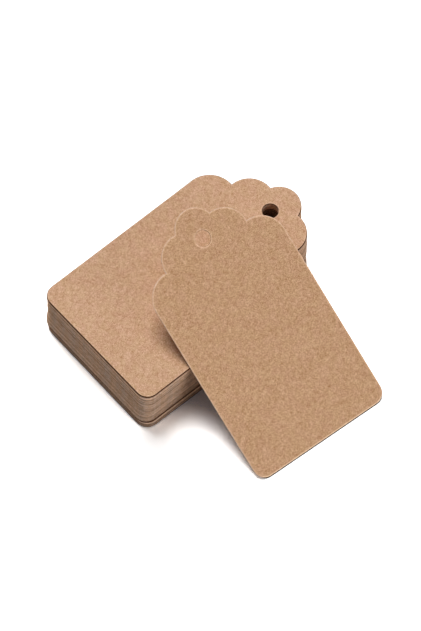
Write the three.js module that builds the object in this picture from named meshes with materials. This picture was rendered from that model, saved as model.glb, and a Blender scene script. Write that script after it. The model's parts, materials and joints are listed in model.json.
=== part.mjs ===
// Kraft paper gift tags: a pack of fifty identical tags cut from brown card.
// Forty-nine lie in a stack, and one stands on its straight end and leans back over the stack's edge.
// Every tag has one straight end with rounded corners, five scallops at the other end and a string hole.
//
// Millimetres, +Z up. The origin is on the table, in the middle of the bottom tag's underside.
// +Y runs along the stack towards the scalloped end, +X towards the leaning tag's foot.

import * as THREE from 'three';

// The tag's outline

const TAG_WIDTH = 50;
const TAG_LENGTH = 84.2; // from the straight end to the tip of the crown scallop
const CARD_THICKNESS = 0.4;
const CORNER_RADIUS = 4.1; // at the two ends of the straight end
const SHOULDER_RADIUS = 8.7; // the scallop that carries each long side round
const SHOULDER_DROP = 21.9; // from the tip down to where the long sides end
const CROWN_RADIUS = 7; // the scallop on the tag's axis
const SIDE_SCALLOP_RADIUS = 8.1; // the one between shoulder and crown
const SIDE_SCALLOP_PLACE = 0.567; // its centre's share of the way from the shoulder's centre to the crown's
const SIDE_SCALLOP_RISE = 0.8; // how far its centre stands outside that line
const HOLE_DIAMETER = 5.3;
const HOLE_DROP = 10.4; // from the tip down to the hole's centre
const HOLE_OFFSET = 0.45; // the punch sits this far off the tag's axis

// The stack

const STACK_COUNT = 49;
const PRESSED_GAP = 0.015; // the air between two tags that lie flat on each other
const BUNDLE_COUNT = 6; // the lowest tags, which were put down first as one bundle
const BUNDLE_GAP = 0.2; // the stack gapes this much above the bundle
const TOP_GAP = 0.25; // and this much under the loose top tag
const DRIFT = 0.33; // the top of the stack has crept this far to the left of its bottom
const TWIST = THREE.MathUtils.degToRad(0.5); // the bottom tag is turned clockwise by this, the top one isn't
const TOP_SLIP = 0.12; // the loose top tag overhangs the straight end and the right side by this much
const BULGE = 0.4; // how far tags above the bundle have slid, to the left and past the straight end
const BULGE_TAG = 12; // the tag that has slid furthest
const BULGE_SPREAD = 7; // tags on either side of it that slid with it
const SHUFFLE = 0.07; // the most that neighbouring tags stand out of line, each way
const SHUFFLE_STEP = 2.4; // radians between one tag's share of the shuffle and the next one's

// The leaning tag

const LEAN_CLEARANCE = 0.3; // between its underside and the edge of the stack that it rests on
const FOOT_REACH = 38.2; // from the bottom tag's right side out to the middle of its foot
const FOOT_SETBACK = 2; // how much nearer to the straight end its middle is than the stack's middle
const LEAN_SKEW = THREE.MathUtils.degToRad(4); // how far its foot is out of parallel with the stack's side

const KRAFT = '#c79e7f';
const SHADE_SPREAD = 0.03; // how much darker the darkest tag is than the lightest
const ARC_STEPS = 3; // half the number of straight pieces in each arc

const half = TAG_WIDTH / 2;

// The five scallops as circles, anticlockwise from the right shoulder
function scallops() {
  const shoulder = new THREE.Vector2(half - SHOULDER_RADIUS, TAG_LENGTH - SHOULDER_DROP);
  const crown = new THREE.Vector2(0, TAG_LENGTH - CROWN_RADIUS);
  const across = crown.clone().sub(shoulder).normalize();
  const outward = new THREE.Vector2(across.y, -across.x);
  const side = shoulder.clone().lerp(crown, SIDE_SCALLOP_PLACE).addScaledVector(outward, SIDE_SCALLOP_RISE);
  const mirrored = (point) => new THREE.Vector2(-point.x, point.y);
  return [
    { centre: shoulder, radius: SHOULDER_RADIUS },
    { centre: side, radius: SIDE_SCALLOP_RADIUS },
    { centre: crown, radius: CROWN_RADIUS },
    { centre: mirrored(side), radius: SIDE_SCALLOP_RADIUS },
    { centre: mirrored(shoulder), radius: SHOULDER_RADIUS },
  ];
}

// The valley between two neighbouring scallops: the outer point where their circles cross
function valley(first, second) {
  const across = second.centre.clone().sub(first.centre);
  const apart = across.length();
  across.normalize();
  const outward = new THREE.Vector2(across.y, -across.x);
  const along = (apart ** 2 + first.radius ** 2 - second.radius ** 2) / (2 * apart);
  const out = Math.sqrt(first.radius ** 2 - along ** 2);
  return first.centre.clone().addScaledVector(across, along).addScaledVector(outward, out);
}

const angleTo = (circle, point) => Math.atan2(point.y - circle.centre.y, point.x - circle.centre.x);

// The tag's plan, with the middle of its straight end at the origin
function tagShape(holeSide) {
  const shape = new THREE.Shape();
  const corner = half - CORNER_RADIUS;
  shape.moveTo(-corner, 0);
  shape.lineTo(corner, 0);
  shape.absarc(corner, CORNER_RADIUS, CORNER_RADIUS, -Math.PI / 2, 0);
  const circles = scallops();
  circles.forEach((circle, i) => {
    const before = circles[i - 1];
    const after = circles[i + 1];
    const start = before ? angleTo(circle, valley(before, circle)) : 0;
    const end = after ? angleTo(circle, valley(circle, after)) : Math.PI;
    shape.absarc(circle.centre.x, circle.centre.y, circle.radius, start, end);
  });
  shape.absarc(-corner, CORNER_RADIUS, CORNER_RADIUS, Math.PI, 1.5 * Math.PI);
  shape.holes.push(stringHole(holeSide));
  return shape;
}

// The punched hole, as two half turns. It lies left of the axis on a tag's face (-1) and right of it on the back (1).
function stringHole(holeSide) {
  const hole = new THREE.Path();
  const x = holeSide * HOLE_OFFSET;
  const y = TAG_LENGTH - HOLE_DROP;
  hole.absarc(x, y, HOLE_DIAMETER / 2, 0, Math.PI);
  hole.absarc(x, y, HOLE_DIAMETER / 2, Math.PI, 2 * Math.PI);
  return hole;
}

// One tag lying flat, from z = 0 up, with the middle of its straight end at the origin
function tag(name, shade, holeSide) {
  const geometry = new THREE.ExtrudeGeometry(tagShape(holeSide), {
    depth: CARD_THICKNESS,
    bevelEnabled: false,
    curveSegments: ARC_STEPS,
  });
  const colour = new THREE.Color(KRAFT).multiplyScalar(shade);
  const card = new THREE.MeshStandardMaterial({ color: colour, roughness: 0.9, metalness: 0 });
  const mesh = new THREE.Mesh(geometry, card);
  mesh.name = name;
  return mesh;
}

// How far a tag of the stack lies from its true place, counted from 1 at the bottom
function lay(number) {
  if (number === STACK_COUNT) return { x: TOP_SLIP - DRIFT, y: -TOP_SLIP, turn: 0 };
  const order = number - 1;
  const climb = order / (STACK_COUNT - 1);
  const away = (number - BULGE_TAG) / BULGE_SPREAD;
  const slid = number > BUNDLE_COUNT ? BULGE * Math.exp(-(away ** 2)) : 0;
  return {
    x: SHUFFLE * Math.sin(order * SHUFFLE_STEP) - slid - DRIFT * climb,
    y: SHUFFLE * Math.sin(order * SHUFFLE_STEP * Math.SQRT2) - slid,
    turn: TWIST * (climb - 1),
  };
}

// The air above a tag of the stack
function gapAbove(number) {
  if (number === BUNDLE_COUNT) return BUNDLE_GAP;
  if (number === STACK_COUNT - 1) return TOP_GAP;
  return PRESSED_GAP;
}

const kraftTags = new THREE.Group();

let level = 0;
for (let number = 1; number <= STACK_COUNT; number += 1) {
  const shade = 1 - SHADE_SPREAD * Math.abs(Math.sin(number * SHUFFLE_STEP));
  const piece = tag(`stack_tag_${String(number).padStart(2, '0')}`, shade, -1);
  piece.position.y = -TAG_LENGTH / 2;
  const { x, y, turn } = lay(number);
  const place = new THREE.Group();
  place.position.set(x, y, level);
  place.rotation.z = turn;
  place.add(piece);
  kraftTags.add(place);
  level += CARD_THICKNESS;
  if (number < STACK_COUNT) level += gapAbove(number);
}

// The leaning tag turns up about its foot until its underside clears the top tag's right edge.
// The foot is skewed, so it is the tag's left long side that comes down on the edge first.
const stackHeight = level;
const footX = half + FOOT_REACH;
const edge = half + lay(STACK_COUNT).x;
const upslope = (footX - half * Math.sin(LEAN_SKEW) - edge) / Math.cos(LEAN_SKEW);
const rise = Math.atan2(stackHeight, upslope);
const clearanceTurn = Math.asin(LEAN_CLEARANCE / Math.hypot(stackHeight, upslope));

const foot = new THREE.Group();
foot.position.set(footX, -FOOT_SETBACK, 0);
foot.rotation.z = Math.PI / 2 - LEAN_SKEW;
const tilt = new THREE.Group();
tilt.rotation.x = rise + clearanceTurn;
tilt.add(tag('leaning_tag', 1, 1)); // it shows its back
foot.add(tilt);
kraftTags.add(foot);

export default kraftTags;
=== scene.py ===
# %% [markdown]
# # Kraft paper gift tags
#
# A pack of fifty brown card tags. Forty-nine lie in a stack, and one stands on its straight end
# and leans back over the stack's edge. Each tag is a flat card 50 mm wide, 84.2 mm long and
# 0.4 mm thick, with five scallops at one end and a punched string hole.
#
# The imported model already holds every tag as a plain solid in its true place. This lesson keeps
# those places and makes a finer card for each: rounder scallops, pressed cut edges and paper.

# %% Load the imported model
import json
import math

import bpy
import numpy as np
from mathutils import Matrix, Vector
from mathutils.geometry import delaunay_2d_cdt

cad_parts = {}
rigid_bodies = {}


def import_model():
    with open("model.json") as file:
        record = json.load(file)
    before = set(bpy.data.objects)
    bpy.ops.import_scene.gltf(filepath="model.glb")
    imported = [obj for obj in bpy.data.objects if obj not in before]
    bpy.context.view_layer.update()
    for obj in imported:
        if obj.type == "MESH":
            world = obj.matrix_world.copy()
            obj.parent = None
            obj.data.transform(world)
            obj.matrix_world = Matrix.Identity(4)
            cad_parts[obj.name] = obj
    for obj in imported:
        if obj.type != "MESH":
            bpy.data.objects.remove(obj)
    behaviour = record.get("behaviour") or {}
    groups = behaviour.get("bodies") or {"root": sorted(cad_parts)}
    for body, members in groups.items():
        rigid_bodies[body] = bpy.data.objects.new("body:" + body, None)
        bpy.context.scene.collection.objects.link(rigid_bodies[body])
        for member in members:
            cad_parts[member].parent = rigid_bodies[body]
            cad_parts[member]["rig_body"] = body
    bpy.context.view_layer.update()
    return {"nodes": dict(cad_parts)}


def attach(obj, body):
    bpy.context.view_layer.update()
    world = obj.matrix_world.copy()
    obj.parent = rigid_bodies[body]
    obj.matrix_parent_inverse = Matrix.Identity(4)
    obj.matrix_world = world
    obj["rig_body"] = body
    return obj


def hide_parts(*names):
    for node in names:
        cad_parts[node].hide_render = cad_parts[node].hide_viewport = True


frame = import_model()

MM = 0.001

# %% [markdown]
# ## The camera
#
# The picture was taken from well above, with a long lens: the tags' parallel sides stay almost
# parallel. The camera could be dragged into place by eye, but four outlines of known size (the
# top tag, the bottom tag and both faces of the leaning one) fix it to a fraction of a degree, so
# the numbers of that fit are written down here and turned into three axes.

# %% Camera
VIEW_HEADING = math.radians(137.515)  # where the camera looks, anticlockwise from +X
VIEW_DROP = math.radians(62.138)  # how steeply it looks down
VIEW_ROLL = math.radians(-1.426)
VIEW_TARGET = Vector((7.004, 0.080, 0.0)) * MM
VIEW_DISTANCE = 1436.96 * MM
VIEW_LENS, SENSOR_WIDTH = 258.75, 36.0  # Blender counts both in millimetres
CLIP_NEAR, CLIP_FAR = 0.05, 20.0  # metres, as are all places in the scene

ahead = Vector((
    math.cos(VIEW_DROP) * math.cos(VIEW_HEADING),
    math.cos(VIEW_DROP) * math.sin(VIEW_HEADING),
    -math.sin(VIEW_DROP),
))
level_right = Vector((math.sin(VIEW_HEADING), -math.cos(VIEW_HEADING), 0.0))
level_down = ahead.cross(level_right)
right = math.cos(VIEW_ROLL) * level_right + math.sin(VIEW_ROLL) * level_down
down = math.cos(VIEW_ROLL) * level_down - math.sin(VIEW_ROLL) * level_right

camera = bpy.data.objects.new("camera", bpy.data.cameras.new("camera"))
bpy.context.scene.collection.objects.link(camera)
turn = Matrix((right, -down, -ahead)).transposed().to_4x4()
camera.matrix_world = Matrix.Translation(VIEW_TARGET - ahead * VIEW_DISTANCE) @ turn
camera.data.lens = VIEW_LENS
camera.data.sensor_width = SENSOR_WIDTH
camera.data.clip_start, camera.data.clip_end = CLIP_NEAR, CLIP_FAR
bpy.context.scene.camera = camera
print("camera at, in mm", [round(c / MM) for c in camera.location])

# %% [markdown]
# ## Wiring nodes
#
# Materials here are small networks. A few helpers keep them readable: one adds a node and plugs
# sockets or plain values into its inputs, the others do arithmetic, blend two colours and turn a
# range of values into a smooth step. The floor and the room also look a little different to the
# camera than to the paper that they light, so one helper tells such rays apart.

# %% Node helpers
def fresh_tree(owner):
    """The node tree of a material or a world, emptied."""
    owner.use_nodes = True
    owner.node_tree.nodes.clear()
    return owner.node_tree


def node(tree, kind, inputs=None, **settings):
    """A new node. Its inputs are linked to sockets or hold plain values."""
    made = tree.nodes.new(kind)
    for name, value in settings.items():
        setattr(made, name, value)
    for name, value in (inputs or {}).items():
        if isinstance(value, bpy.types.NodeSocket):
            tree.links.new(value, made.inputs[name])
        else:
            made.inputs[name].default_value = value
    return made


def maths(tree, operation, *values):
    return node(tree, "ShaderNodeMath", dict(enumerate(values)), operation=operation).outputs[0]


def vector_maths(tree, operation, *values):
    return node(tree, "ShaderNodeVectorMath", dict(enumerate(values)), operation=operation).outputs[0]


def blend(tree, share, first, second):
    """First where share is 0, second where it is 1."""
    mix = node(tree, "ShaderNodeMix", {0: share, 6: first, 7: second}, data_type="RGBA")
    return mix.outputs[2]  # like inputs 6 and 7, the one for colours


def ramp(tree, value, low, high):
    """0 at low and 1 at high, smooth between."""
    inputs = {"Value": value, "From Min": low, "From Max": high}
    return node(tree, "ShaderNodeMapRange", inputs, interpolation_type="SMOOTHSTEP").outputs[0]


def seen_directly(tree):
    """1 for camera, glossy and transmission rays, which show what they meet as it is."""
    ray = node(tree, "ShaderNodeLightPath").outputs
    mirrored = maths(tree, "MAXIMUM", ray["Is Glossy Ray"], ray["Is Transmission Ray"])
    return maths(tree, "MAXIMUM", ray["Is Camera Ray"], mirrored)

# %% [markdown]
# ## Floor and light
#
# The tags lie on a white table that runs off into a white background, and their only shadows
# hug the foot. A white plane lit just to white would show much wider ones, with soft grey hems.
# So rays that see the floor directly get a colour that paints light and shade by how open each place
# is: its own white out in the open, painted light far above white round the hem of a shadow, as if
# it were overexposed, and painted grey shade deep in a corner. A second, very short look around
# paints a dark contact shadow where a tag touches the table. The floor is still a surface and not a
# lamp, so the lamps' shadows stay true under this painted light and shade. Rays that bounce off it
# onto the card get a plain pale grey.

# %% Floor
FLOOR_REACH = 4.0  # metres to each side
FLOOR_DROP = 0.02 * MM  # below the bottom tag, so that the two never share a plane
FLOOR_OPEN = (1.1, 1.1, 1.1, 1.0)
# seen directly, the floor is painted light far above white round a shadow's hem, painted grey shade in a
# corner, and a painted dark contact shadow where a tag touches it
FLOOR_PAINTED_HEM_LIGHT = (2.4, 2.4, 2.4, 1.0)
FLOOR_PAINTED_CORNER_SHADE = (0.62, 0.66, 0.78, 1.0)
FLOOR_PAINTED_CONTACT_SHADOW = (0.10, 0.09, 0.09, 1.0)
FLOOR_BOUNCE = (0.85, 0.85, 0.85, 1.0)
OPEN_REACH = 25 * MM  # how far around a place the tags count as closing it in
CONTACT_REACH = 0.7 * MM  # the same for the painted contact shadow right at a tag
CORNER_TO_HEM = (0.30, 0.58)  # from which openness to which one colour turns into the next
HEM_TO_OPEN = (0.70, 0.93)
CONTACT_TO_SHADOW = (0.45, 0.85)
OPENNESS_SAMPLES = 16

corners = [
    (x * FLOOR_REACH, y * FLOOR_REACH, -FLOOR_DROP)
    for x, y in ((-1, -1), (1, -1), (1, 1), (-1, 1))
]
floor_mesh = bpy.data.meshes.new("floor")
floor_mesh.from_pydata(corners, [], [(0, 1, 2, 3)])
floor = bpy.data.objects.new("floor", floor_mesh)
bpy.context.scene.collection.objects.link(floor)


def openness(tree, reach):
    """1 where nothing within reach closes a place in, and less where something does."""
    inputs = {"Distance": reach}
    return node(tree, "ShaderNodeAmbientOcclusion", inputs, samples=OPENNESS_SAMPLES).outputs["AO"]


table_top = bpy.data.materials.new("table_top")
tree = fresh_tree(table_top)
around = openness(tree, OPEN_REACH)
# the camera's colour of the floor: painted light round shadow hems, painted shade in corners, a painted
# contact shadow at the tags' feet
seen = blend(tree, ramp(tree, around, *CORNER_TO_HEM), FLOOR_PAINTED_CORNER_SHADE, FLOOR_PAINTED_HEM_LIGHT)
seen = blend(tree, ramp(tree, around, *HEM_TO_OPEN), seen, FLOOR_OPEN)
close_by = openness(tree, CONTACT_REACH)
seen = blend(tree, ramp(tree, close_by, *CONTACT_TO_SHADOW), FLOOR_PAINTED_CONTACT_SHADOW, seen)
colour = blend(tree, seen_directly(tree), FLOOR_BOUNCE, seen)
matt = node(tree, "ShaderNodeBsdfDiffuse", {"Color": colour})
node(tree, "ShaderNodeOutputMaterial", {"Surface": matt.outputs[0]})
floor_mesh.materials.append(table_top)
print("the floor reaches", FLOOR_REACH, "m to each side")

# %% [markdown]
# Two soft lights do most of the work: a big one high at the back left, as from a skylight, and a
# faint one low at the right, which brings out the stack's right side. They leave the straight
# end of the stack darkest, and the leaning tag casts only a faint shadow across the stack. Lamps
# near the table would do, but sun lamps with a wide disc light the whole table alike, so that
# its white stays white out to the horizon. Each light's share is what it adds on a flat top
# face, so that shares and room together make 1, and paper shows the colour written for it.

# %% Lights
def soft_light(name, heading, height, spread, share):
    """A sun lamp, its heading and height above the table and its disc's width in degrees."""
    heading, height = math.radians(heading), math.radians(height)
    level = math.cos(height)
    towards = Vector((level * math.cos(heading), level * math.sin(heading), math.sin(height)))
    light = bpy.data.lights.new(name, "SUN")
    light.angle = math.radians(spread)
    light.energy = share * math.pi / towards.z
    lamp = bpy.data.objects.new(name, light)
    bpy.context.scene.collection.objects.link(lamp)
    lamp.location = towards  # only a sun's direction counts, this just keeps it clear of the tags
    lamp.rotation_mode = "QUATERNION"
    lamp.rotation_quaternion = towards.to_track_quat("Z", "Y")
    print(name, "strength", round(light.energy, 2))


soft_light("light_high_left", heading=160, height=64, spread=36, share=0.78)
soft_light("light_low_right", heading=10, height=14, spread=28, share=0.07)

# %% [markdown]
# The rest comes from the room: a faint light from all sides, as from white walls, that keeps the
# shadows from going black. Seen directly, past the tags and the table, the room is plain white.

# %% Room
ROOM_SHARE = 0.15
WHITE = (1, 1, 1, 1)

world = bpy.data.worlds.new("white_room")
bpy.context.scene.world = world
tree = fresh_tree(world)
room = node(tree, "ShaderNodeBackground", {"Color": WHITE, "Strength": ROOM_SHARE})
backdrop = node(tree, "ShaderNodeBackground", {"Color": WHITE, "Strength": 1.0})
share = seen_directly(tree)
both = node(tree, "ShaderNodeMixShader", {0: share, 1: room.outputs[0], 2: backdrop.outputs[0]})
node(tree, "ShaderNodeOutputWorld", {"Surface": both.outputs[0]})
bpy.context.scene.view_settings.view_transform = "Standard"
print("the room's share of the light is", ROOM_SHARE)

# %% [markdown]
# ## The scallops
#
# A die cuts every tag, so its outline is made of true arcs: two rounded corners, and five
# scallops whose circles cross in sharp valleys. It could be traced, but circles keep it exact
# and symmetric. Two circles cross twice, and a valley is the crossing that lies further out.

# %% Scallops
TAG_WIDTH = 50.0  # all of a card's sizes are millimetres until its mesh is made
TAG_LENGTH = 84.2
CARD_THICKNESS = 0.4
CORNER_RADIUS = 4.1
SHOULDER_RADIUS, SHOULDER_DROP = 8.7, 21.9  # the drop is from the tip to where the long sides end
CROWN_RADIUS = 7.0
SIDE_SCALLOP_RADIUS = 8.1
SIDE_SCALLOP_PLACE = 0.567  # its centre's share of the way from the shoulder's to the crown's
SIDE_SCALLOP_RISE = 0.8  # how far its centre stands outside that line
HALF = TAG_WIDTH / 2


def scallops():
    """The five scallops' centres and radii, anticlockwise from the right shoulder."""
    shoulder = np.array((HALF - SHOULDER_RADIUS, TAG_LENGTH - SHOULDER_DROP))
    crown = np.array((0.0, TAG_LENGTH - CROWN_RADIUS))
    across = (crown - shoulder) / np.linalg.norm(crown - shoulder)
    outward = np.array((across[1], -across[0]))
    side = shoulder + (crown - shoulder) * SIDE_SCALLOP_PLACE + outward * SIDE_SCALLOP_RISE
    mirror = np.array((-1.0, 1.0))
    return [
        (shoulder, SHOULDER_RADIUS), (side, SIDE_SCALLOP_RADIUS), (crown, CROWN_RADIUS),
        (side * mirror, SIDE_SCALLOP_RADIUS), (shoulder * mirror, SHOULDER_RADIUS),
    ]


def valley(first, second):
    """The outer point where two neighbouring circles cross."""
    (c1, r1), (c2, r2) = first, second
    apart = np.linalg.norm(c2 - c1)
    across = (c2 - c1) / apart
    outward = np.array((across[1], -across[0]))
    along = (apart ** 2 + r1 ** 2 - r2 ** 2) / (2 * apart)
    return c1 + across * along + outward * math.sqrt(r1 ** 2 - along ** 2)


shoulder, side_scallop = scallops()[:2]
print("the first valley lies at, in mm", valley(shoulder, side_scallop).round(2))

# %% [markdown]
# ## The tag's outline
#
# Straight lines join the arcs into one closed outline. It could be a curve object, but a list
# of points is easy to draw in by a small distance, because every circle just gets that much
# smaller. The rounded cut edge needs several such outlines with the same number of points.

# %% Outline
CORNER_STEPS, SCALLOP_STEPS, LONG_SIDE_STEPS, END_STEPS = 10, 24, 16, 12


def arc(centre, radius, start, end, steps):
    """Points along an arc, without its last one."""
    angles = start + (end - start) * np.arange(steps) / steps
    return np.array(centre) + radius * np.column_stack((np.cos(angles), np.sin(angles)))


def line(start, end, steps):
    """Points along a straight line, without its last one."""
    shares = (np.arange(steps) / steps)[:, None]
    return np.array(start) * (1 - shares) + np.array(end) * shares


def outline(inset):
    """The tag's outline drawn in by inset, anticlockwise from the left end of the straight end."""
    low, side, corner = inset, HALF - inset, HALF - CORNER_RADIUS
    circles = [(centre, radius - inset) for centre, radius in scallops()]
    shoulder_height = TAG_LENGTH - SHOULDER_DROP
    parts = [
        line((-corner, low), (corner, low), END_STEPS),
        arc((corner, CORNER_RADIUS), CORNER_RADIUS - inset, -math.pi / 2, 0, CORNER_STEPS),
        line((side, CORNER_RADIUS), (side, shoulder_height), LONG_SIDE_STEPS),
    ]
    for i, (centre, radius) in enumerate(circles):
        start, end = 0.0, math.pi
        if i > 0:
            x, y = valley(circles[i - 1], circles[i]) - centre
            start = math.atan2(y, x)
        if i < len(circles) - 1:
            x, y = valley(circles[i], circles[i + 1]) - centre
            end = math.atan2(y, x) % (2 * math.pi)  # past a half turn on the left side
        parts.append(arc(centre, radius, start, end, SCALLOP_STEPS))
    parts.append(line((-side, shoulder_height), (-side, CORNER_RADIUS), LONG_SIDE_STEPS))
    parts.append(arc((-corner, CORNER_RADIUS), CORNER_RADIUS - inset, math.pi, 1.5 * math.pi, CORNER_STEPS))
    return np.vstack(parts)


print("points in an outline", len(outline(0.0)), "tip at", outline(0.0)[:, 1].max().round(2), "mm")

# %% [markdown]
# ## The string hole
#
# The punch hits a little beside the tag's axis: to the left on a tag's smooth face, so to the
# right on the one tag that shows its back. A circle that grows by the same inset fits round it.

# %% Hole
HOLE_DIAMETER, HOLE_DROP, HOLE_OFFSET = 5.3, 10.4, 0.45
HOLE_STEPS = 48
FACE_UP, BACK_UP = -1, 1  # the side of the axis that the hole then lies on


def hole_ring(inset, side):
    """The hole's rim, grown by inset, on a tag that lies face up or back up."""
    centre = (side * HOLE_OFFSET, TAG_LENGTH - HOLE_DROP)
    return arc(centre, HOLE_DIAMETER / 2 + inset, 0, 2 * math.pi, HOLE_STEPS)


print("points round a hole", len(hole_ring(0.0, FACE_UP)))

# %% [markdown]
# ## The flat face
#
# A flat face with a hole could be one many-sided polygon, but that shades badly and is hard to
# reuse. A constrained Delaunay triangulation joins the rim, the hole and a loose lattice of
# inner points into even triangles. The lattice's rows stand as far apart as an equilateral
# triangle is high, and every second row is shifted by half a step.

# %% Face triangles
FACE_INSET = 0.60  # the flat face starts this far in from the cut
LATTICE = 4.2  # between inner points
LATTICE_MARGIN = 1.8  # from any rim
INSIDE_ONLY = 1  # asks the triangulation for triangles within the rim
MERGE_DISTANCE = 1e-6


def face_triangles(rim, hole):
    """Inner points, and triangles over rim, then hole, then inner points, anticlockwise."""
    edge_points = np.vstack((rim, hole))
    hole_centre = hole.mean(axis=0)
    inner = []
    rows = int(TAG_LENGTH / (LATTICE * math.sqrt(3) / 2))
    for row in range(rows + 1):
        y = row * LATTICE * math.sqrt(3) / 2
        for x in np.arange(-HALF, HALF, LATTICE) + (row % 2) * LATTICE / 2:
            clear = np.linalg.norm(edge_points - (x, y), axis=1).min() > LATTICE_MARGIN
            if clear and np.linalg.norm(hole_centre - (x, y)) > HOLE_DIAMETER / 2:
                inner.append((x, y))
    points = [Vector(p) for p in (*rim, *hole, *inner)]
    rim_count, hole_count = len(rim), len(hole)
    loops = [(i, (i + 1) % rim_count) for i in range(rim_count)]
    loops += [(rim_count + i, rim_count + (i + 1) % hole_count) for i in range(hole_count)]
    _, _, faces, origins, _, _ = delaunay_2d_cdt(points, loops, [], INSIDE_ONLY, MERGE_DISTANCE)
    triangles = []
    for face in faces:
        a, b, c = (origins[v][0] for v in face)
        if min(a, b, c) >= rim_count and max(a, b, c) < rim_count + hole_count:
            continue  # over the open hole
        (ax, ay), (bx, by), (cx, cy) = points[a], points[b], points[c]
        anticlockwise = (bx - ax) * (cy - ay) > (by - ay) * (cx - ax)
        triangles.append((a, b, c) if anticlockwise else (a, c, b))
    return np.array(inner), triangles


inner_points, triangles = {}, {}
for side in (FACE_UP, BACK_UP):
    rim, hole = outline(FACE_INSET), hole_ring(FACE_INSET, side)
    inner_points[side], triangles[side] = face_triangles(rim, hole)
print("triangles in a flat face", len(triangles[FACE_UP]))

# %% [markdown]
# ## The card's edge
#
# Under the die, card isn't cut square: the blade presses both faces down a little before it
# parts them, so the cut edge is rounded and its rim catches the light. It could be a bevel on a
# flat plate. Here eight outlines, one above another, make that profile all round the tag and
# inside the hole, because then every row of faces can have its own material.

# %% Edge profile
EDGE_PROFILE = [  # how far in from the cut, and the height
    (FACE_INSET, CARD_THICKNESS), (0.17, CARD_THICKNESS),
    (0.05, CARD_THICKNESS - 0.05), (0.0, CARD_THICKNESS - 0.15),
    (0.0, 0.15), (0.05, 0.05),
    (0.17, 0.0), (FACE_INSET, 0.0),
]
RIM_SKIN, HOLE_SKIN = 1, 2  # rows of the profile, from either face, that are paper and not cut
UPPER, LOWER, CUT = 0, 1, 2  # the material slots of a card
rings = len(EDGE_PROFILE)


def ring_faces(first, count, outward, skin):
    """Quads between stacked rings from point number first on, and their material slots."""
    faces, slots = [], []
    for ring in range(rings - 1):
        slot = UPPER if ring < skin else LOWER if ring > rings - 2 - skin else CUT
        top, bottom = first + ring * count, first + (ring + 1) * count
        for i in range(count):
            j = (i + 1) % count
            quad = (top + i, bottom + i, bottom + j, top + j)
            faces.append(quad if outward else quad[::-1])
            slots.append(slot)
    return faces, slots


print("rings in an edge", rings)

# %% [markdown]
# ## One card
#
# Rings and flat faces together make one closed mesh. Its points carry three facts for the
# materials: where each one lay on the big sheet that the tags were cut from, how strong a painted
# highlight its rim gets, and how pale the cut is, which on some tags is painted shade or light.
# Painted images could say the same, but numbers on the points stay sharp and need no unwrapping.
# The straight end can have its own painted rim highlight and tone, because a tag may stand on it,
# and the hole can have its own tone, which paints the shade or light inside it.

# %% Card mesh
# a painted highlight, ring by ring, along the rim where the pressed cut edge would catch the light
RIM_HIGHLIGHT = [0.0, 1.0, 1.0, 0.6, 0.6, 1.0, 1.0, 0.0]  # one for each ring of the edge
FOOT_BAND = 1.0  # how far up a tag its straight end counts


def card_mesh(name, side, sheet_place, tone, end_tone_and_shade, hole_light_and_shade, end_highlight):
    """One tag lying flat, with the middle of its straight end at the origin, in metres."""
    points, highlight = [], []
    for (inset, height), shine in zip(EDGE_PROFILE, RIM_HIGHLIGHT):
        for x, y in outline(inset):
            points.append((x, y, height))
            highlight.append(shine * end_highlight if y < FOOT_BAND else shine)
    hole_first = len(points)
    for (inset, height), shine in zip(EDGE_PROFILE, RIM_HIGHLIGHT):
        for x, y in hole_ring(inset, side):
            points.append((x, y, height))
            highlight.append(shine)
    inner_first = len(points)
    inner = inner_points[side]
    for height in (CARD_THICKNESS, 0.0):
        points += [(x, y, height) for x, y in inner]
    highlight += [0.0] * (len(points) - inner_first)
    tones = [end_tone_and_shade if y < FOOT_BAND else tone for _, y, _ in points[:hole_first]]
    tones += [hole_light_and_shade] * (len(points) - hole_first)
    rim_count = hole_first // rings

    def number(vertex, ring, inner_start):
        """The place among all points of a flat face's point."""
        if vertex < rim_count:
            return ring * rim_count + vertex
        if vertex < rim_count + HOLE_STEPS:
            return hole_first + ring * HOLE_STEPS + vertex - rim_count
        return inner_start + vertex - rim_count - HOLE_STEPS

    faces, slots = ring_faces(0, rim_count, True, RIM_SKIN)
    hole_faces, hole_slots = ring_faces(hole_first, HOLE_STEPS, False, HOLE_SKIN)
    faces += hole_faces
    slots += hole_slots
    for triangle in triangles[side]:
        faces.append([number(v, 0, inner_first) for v in triangle])
        faces.append([number(v, rings - 1, inner_first + len(inner)) for v in triangle[::-1]])
        slots += [UPPER, LOWER]

    mesh = bpy.data.meshes.new(name)
    mesh.from_pydata([Vector(p) * MM for p in points], [], faces)
    mesh.polygons.foreach_set("material_index", slots)
    mesh.polygons.foreach_set("use_smooth", [True] * len(faces))
    place = (np.array(points) + sheet_place) * MM
    sheet = mesh.attributes.new("sheet_place", "FLOAT_VECTOR", "POINT")
    sheet.data.foreach_set("vector", place.ravel())
    for fact, values in (("rim_highlight", highlight), ("tone", tones)):
        mesh.attributes.new(fact, "FLOAT", "POINT").data.foreach_set("value", values)
    mesh.validate()
    return mesh


print("points in a card's edges", rings * (len(outline(0.0)) + HOLE_STEPS))

# %% [markdown]
# ## Kraft paper
#
# Kraft board is pressed from unbleached brown fibres. From arm's length it looks even; closer
# by, it has soft clouds a few millimetres across where the pulp lay thicker, some mottling, a
# fine grain, and single hair-like fibres, paler or darker, that curl in every direction. A
# photograph of paper could be wrapped on, but noise in layers repeats nowhere and follows every
# tag.
#
# Fibres: noise that is stretched ten times longer than wide makes short dashes. Its highest
# places become pale hairs and its lowest ones dark hairs. Several such layers, each turned its
# own way and all bent by one slow noise, give hairs that curl in every direction.

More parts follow.
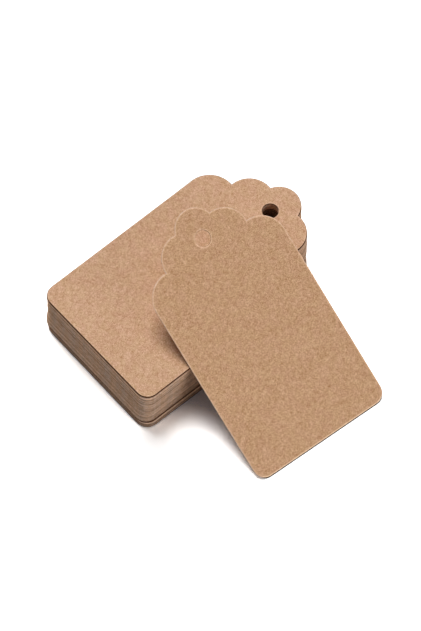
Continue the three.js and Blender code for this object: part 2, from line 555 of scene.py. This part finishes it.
# %% Fibre layers
FIBRE_LENGTH, FIBRE_WIDTH = 1.5 * MM, 0.15 * MM
FIBRE_TURNS = [math.radians(turn) for turn in (11, 43, 80, 118, 157)]
BEND_SPAN, BEND = 2.5 * MM, 1.2 * MM  # the slow noise, and how far it pushes a hair aside
PALE_HAIR, DARK_HAIR = (0.58, 0.72), (0.42, 0.28)  # the noise at a hair's edge and in its middle


def noise(tree, place, span, detail=2.0, roughness=0.5):
    """Noise from 0 to 1 with features about span long."""
    inputs = {"Vector": place, "Scale": 1 / span, "Detail": detail, "Roughness": roughness}
    return node(tree, "ShaderNodeTexNoise", inputs).outputs


def fibres(tree, place):
    """How much of a pale hair, and of a dark one, each point shows."""
    slow = noise(tree, place, BEND_SPAN, detail=0.0)["Color"]
    bent = vector_maths(tree, "MULTIPLY_ADD", slow, (BEND, BEND, 0), place)
    stretch = (FIBRE_WIDTH / FIBRE_LENGTH, 1, 1)
    pale, dark = 0.0, 0.0
    for turn in FIBRE_TURNS:
        inputs = {"Vector": bent, "Angle": turn}
        turned = node(tree, "ShaderNodeVectorRotate", inputs, rotation_type="Z_AXIS").outputs[0]
        dashes = vector_maths(tree, "MULTIPLY", turned, stretch)
        height = noise(tree, dashes, FIBRE_WIDTH, detail=0.0)["Fac"]
        pale = maths(tree, "MAXIMUM", pale, ramp(tree, height, *PALE_HAIR))
        dark = maths(tree, "MAXIMUM", dark, ramp(tree, height, *DARK_HAIR))
    return pale, dark


print("a fibre is", round(FIBRE_LENGTH / MM, 2), "mm long and lies in", len(FIBRE_TURNS), "directions")

# %% [markdown]
# All layers are added up to one lightness, and that changes the paper's colour. It could simply
# be multiplied, but bleached and brown pulp differ in blue far more than in red. So red, green
# and blue each take their own share of the change.

# %% Layers into a colour
FIBRE_TINT = (0.72, 1.0, 1.33)  # a paler fibre is less brown too, so its blue rises most


def linear(red, green, blue):
    """A screen colour, 0 to 255, as the linear values that Blender's sockets hold."""
    def one(level):
        share = level / 255
        return share / 12.92 if share <= 0.04045 else ((share + 0.055) / 1.055) ** 2.4
    return (one(red), one(green), one(blue), 1.0)


def speckle(tree, place, span, detail=2.0, roughness=0.5):
    """Noise from -0.5 to 0.5 with features about span long."""
    return maths(tree, "SUBTRACT", noise(tree, place, span, detail, roughness)["Fac"], 0.5)


def carried(tree, fact, output="Fac"):
    """A fact that the points of a card carry."""
    return node(tree, "ShaderNodeAttribute", attribute_name=fact).outputs[output]


def added_up(tree, layers):
    """The sum of all layers, each one times its strength."""
    total = 0.0
    for layer, strength in layers:
        total = maths(tree, "MULTIPLY_ADD", layer, strength, total)
    return total


def lit(tree, colour, lightness):
    """The colour made paler where lightness is above 0 and browner where it is below."""
    factor = vector_maths(tree, "MULTIPLY_ADD", lightness, FIBRE_TINT, (1, 1, 1))
    return vector_maths(tree, "MULTIPLY", colour, factor)


print("lighter by 0.1 is red, green and blue times", [round(1 + 0.1 * share, 3) for share in FIBRE_TINT])

# %% [markdown]
# The two faces of the card differ. The smooth one was against the hot drum and is a little
# paler; the back is rougher, more yellow, and shows more loose fibres. Both get a painted
# highlight along their rims, where the pressed cut edge would catch the light. One recipe makes
# both, with its own strengths for each.

# %% Paper faces
CLOUD_SPAN, BLOTCH_SPAN, MOTTLE_SPAN, GRAIN_SPAN = 5.0 * MM, 3.2 * MM, 1.1 * MM, 0.36 * MM
PATCHY = (0.35, 0.65)  # the noise between which one tint turns into the other
FIBRE_RELIEF = 0.03 * MM


def dull_surface(tree, colour, roughness, sheen, relief, strength):
    """Ends a tree in card of that colour. The relief tilts its surface as far as strength says."""
    bump = node(tree, "ShaderNodeBump", {"Strength": strength, "Distance": FIBRE_RELIEF, "Height": relief})
    surface = node(tree, "ShaderNodeBsdfPrincipled", {
        "Base Color": colour, "Roughness": roughness, "Specular IOR Level": sheen, "Normal": bump.outputs[0],
    })
    node(tree, "ShaderNodeOutputMaterial", {"Surface": surface.outputs[0]})


def paper(name, pink, olive, clouds, mottle, grain, hair, rim):
    """A face of the card. Pink and olive are its two tints, the rest are strengths."""
    material = bpy.data.materials.new(name)
    tree = fresh_tree(material)
    place = carried(tree, "sheet_place", "Vector")
    pale, dark = fibres(tree, place)
    pulp = speckle(tree, place, GRAIN_SPAN, roughness=0.6)
    lightness = added_up(tree, [
        (speckle(tree, place, CLOUD_SPAN, detail=3.0), clouds),
        (speckle(tree, place, MOTTLE_SPAN, detail=3.0, roughness=0.6), mottle),
        (pulp, grain),
        (pale, hair),
        (dark, -hair),
        # a painted highlight along the card's rim, as strong as rim says
        (carried(tree, "rim_highlight"), rim),
    ])
    tint = ramp(tree, noise(tree, place, BLOTCH_SPAN)["Fac"], *PATCHY)
    colour = lit(tree, blend(tree, tint, pink, olive), lightness)
    relief = maths(tree, "ADD", maths(tree, "SUBTRACT", pale, dark), pulp)
    dull_surface(tree, colour, roughness=0.88, sheen=0.2, relief=relief, strength=0.22)
    print(name, "has", len(tree.nodes), "nodes")
    return material


smooth_face = paper(
    "kraft_smooth_face", linear(200, 158.8, 128.8), linear(199, 160.3, 126.5),
    clouds=0.20, mottle=0.08, grain=1.15, hair=0.24, rim=0.20,
)
rough_back = paper(
    "kraft_rough_back", linear(199.3, 156.1, 122), linear(198.2, 157.0, 119.5),
    clouds=0.20, mottle=0.08, grain=1.30, hair=0.30, rim=0.48,
)

# %% [markdown]
# ## The cut edge
#
# The cut shows the card's core: duller and greyer than its faces. Each tag is a little lighter
# or darker than the next, which draws the fine lines along the stack's sides, and that shade
# comes from the tone that its mesh carries. Along one tag, torn pulp leaves short pale and dark
# dashes. The blade went through many sheets at once and left faint upright scratches, which run
# on from tag to tag, as do wide patches that are a little warmer or cooler. So scratches and
# patches are noise in the tag's own plan, without height.

# %% Cut edge
SCRATCH_SPAN, DASH_SPAN, PATCH_SPAN = 0.8 * MM, 1.5 * MM, 4.0 * MM
SCRATCHES, DASHES, PULP = 0.40, 1.10, 0.70  # how much each changes the lightness
CORE_LIGHT, CORE_DARK = linear(238, 202, 174), linear(74, 40, 18)
WARMER, COOLER = (1.05, 1.0, 0.93, 1.0), (0.96, 1.0, 1.05, 1.0)

cut_edge = bpy.data.materials.new("kraft_cut_edge")
tree = fresh_tree(cut_edge)
place = carried(tree, "sheet_place", "Vector")
own_place = node(tree, "ShaderNodeTexCoord").outputs["Object"]
plan = vector_maths(tree, "MULTIPLY", own_place, (1, 1, 0))
pulp = speckle(tree, place, GRAIN_SPAN)
lightness = added_up(tree, [
    (speckle(tree, plan, SCRATCH_SPAN, detail=3.0, roughness=0.65), SCRATCHES),
    (speckle(tree, place, DASH_SPAN, detail=3.0, roughness=0.6), DASHES),
    (pulp, PULP),
])
patches = ramp(tree, noise(tree, plan, PATCH_SPAN)["Fac"], *PATCHY)
hue = blend(tree, patches, WARMER, COOLER)
# the tone is the cut's own paleness, drawn by lot; on some tags, in the holes and at the leaning tag's foot
# it is painted shade or painted light
core = blend(tree, carried(tree, "tone"), CORE_DARK, CORE_LIGHT)
colour = lit(tree, vector_maths(tree, "MULTIPLY", core, hue), lightness)
dull_surface(tree, colour, roughness=0.95, sheen=0.1, relief=pulp, strength=0.5)
print("cut edge has", len(tree.nodes), "nodes")

# %% [markdown]
# ## Where each tag lies
#
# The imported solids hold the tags' places. Of all a solid's edges only those of the straight end
# are 41.8 mm long, so they give the end's middle and the tag's sideways axis, and its largest
# face gives the upward one. Nothing has to be copied, and a card can't miss its solid.

# %% Read a tag's place
STRAIGHT_END = (TAG_WIDTH - 2 * CORNER_RADIUS) * MM
END_TOLERANCE = 0.002 * MM
stack_nodes = sorted(name for name in frame["nodes"] if name.startswith("stack_tag_"))


def place_of(solid):
    """The matrix that carries a card from the origin to where this solid lies."""
    mesh = solid.data
    flat = max(mesh.polygons, key=lambda face: face.area).normal.copy()
    up = flat if flat.z > 0 else -flat
    ends = []
    for edge in mesh.edges:
        a, b = (mesh.vertices[v].co for v in edge.vertices)
        if abs((b - a).length - STRAIGHT_END) < END_TOLERANCE:
            ends.append((up.dot(a), a.copy(), b.copy()))
    _, a, b = min(ends, key=lambda end: end[0])
    middle = (a + b) / 2
    across = (b - a).normalized()
    centre = sum((v.co for v in mesh.vertices), Vector()) / len(mesh.vertices)
    along = up.cross(across)
    if along.dot(centre - middle) < 0:
        across, along = -across, -along
    turn = Matrix((across, along, across.cross(along))).transposed().to_4x4()
    return Matrix.Translation(middle) @ turn


top_place = place_of(frame["nodes"][stack_nodes[-1]])
print("the top tag's end lies at, in mm", [round(c / MM, 2) for c in top_place.translation])

# %% [markdown]
# ## The tone of every cut
#
# A tone of 0 is the dark core and 1 the light one. All could be the same, but then the stack
# would look like one block, so they are drawn by lot. The tags that stand out in the picture have
# theirs set one by one: dark, as painted shade, where the stack gapes, and pale, as painted light, a
# little below such a gap. The holes are painted dark inside as shade, except in a few tags under the
# topmost two, which are painted pale where they catch the light. The leaning tag stands on an end
# whose cut is painted dark as shade, and its rim gets the strongest painted highlight of all.

# %% Tones
MEAN_TONE, TONE_SPREAD = 0.66, 0.22
# dark tones here are painted shade in the stack's gaps, pale ones painted light on the cards just below a
# gap
TONES_WITH_PAINTED_SHADE_AND_LIGHT = {  # by number, counted from the bottom
    49: 0.0, 48: 0.0, 47: 0.5, 46: 1.0, 45: 1.0, 44: 0.8,  # from the gap under the top tag down
    8: 0.1, 7: 0.0, 6: 1.0, 5: 0.9,  # round the gap above the lowest six
    4: 0.3, 2: 0.3,  # two dull ones near the bottom
}
PALE_HOLES = range(42, 48)  # these tags' holes catch the light
# inside a hole, the cut is painted dark as shade, or painted pale where it catches the light
HOLE_PAINTED_LIGHT, HOLE_PAINTED_SHADE = 0.85, 0.05
LYING_END_HIGHLIGHT = 1.0  # a lying tag's straight end gets as much painted rim highlight as the rest of its rim
# the leaning tag's foot: its cut painted dark as shade, its rim with the strongest painted highlight
LEANING_TONE, LEANING_END_PAINTED_SHADE, LEANING_END_HIGHLIGHT = 0.8, 0.0, 3.2
DICE_SEED = 50
dice = np.random.default_rng(DICE_SEED)
print("tags with a tone set by hand", sorted(TONES_WITH_PAINTED_SHADE_AND_LIGHT))

# %% [markdown]
# ## Laying the cards
#
# Now every tag of the stack gets its card, and the leaning one too. The cards could share one
# mesh, but then all would show the same fibres and the same tone, so each has a mesh of its own
# and its own spot of the big sheet. Every card rides on its solid's body, so it moves with the
# joints, and replaces the plain solid in the picture.

# %% Lay the cards
SHEET_STEP = Vector((61.0, 97.0, 13.0))  # from one tag's place on the sheet to the next one's


def lay_card(name, node_name, side, number, faces, looks):
    """A card in its solid's place. Faces are its upper and lower paper, looks its tones and painted rim
    highlight.
    """
    solid = frame["nodes"][node_name]
    mesh = card_mesh(name, side, SHEET_STEP * number, *looks)
    for material in (*faces, cut_edge):
        mesh.materials.append(material)
    card = bpy.data.objects.new(name, mesh)
    bpy.context.scene.collection.objects.link(card)
    card.matrix_world = place_of(solid)
    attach(card, solid["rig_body"])
    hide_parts(node_name)
    return card


for number, node_name in enumerate(stack_nodes, 1):
    tone = TONES_WITH_PAINTED_SHADE_AND_LIGHT.get(number, MEAN_TONE + TONE_SPREAD * dice.uniform(-1, 1))
    name = node_name.replace("stack_tag", "card")
    hole_light_and_shade = HOLE_PAINTED_LIGHT if number in PALE_HOLES else HOLE_PAINTED_SHADE
    looks = (tone, tone, hole_light_and_shade, LYING_END_HIGHLIGHT)
    lay_card(name, node_name, FACE_UP, number, (smooth_face, rough_back), looks)

last = len(stack_nodes) + 1
looks = (LEANING_TONE, LEANING_END_PAINTED_SHADE, HOLE_PAINTED_SHADE, LEANING_END_HIGHLIGHT)
leaning = lay_card("leaning_card", "leaning_tag", BACK_UP, last, (rough_back, smooth_face), looks)
print("cards", last, "with", len(leaning.data.polygons), "faces each")
print("leaning card's foot at, in mm", [round(c / MM, 1) for c in leaning.matrix_world.translation])
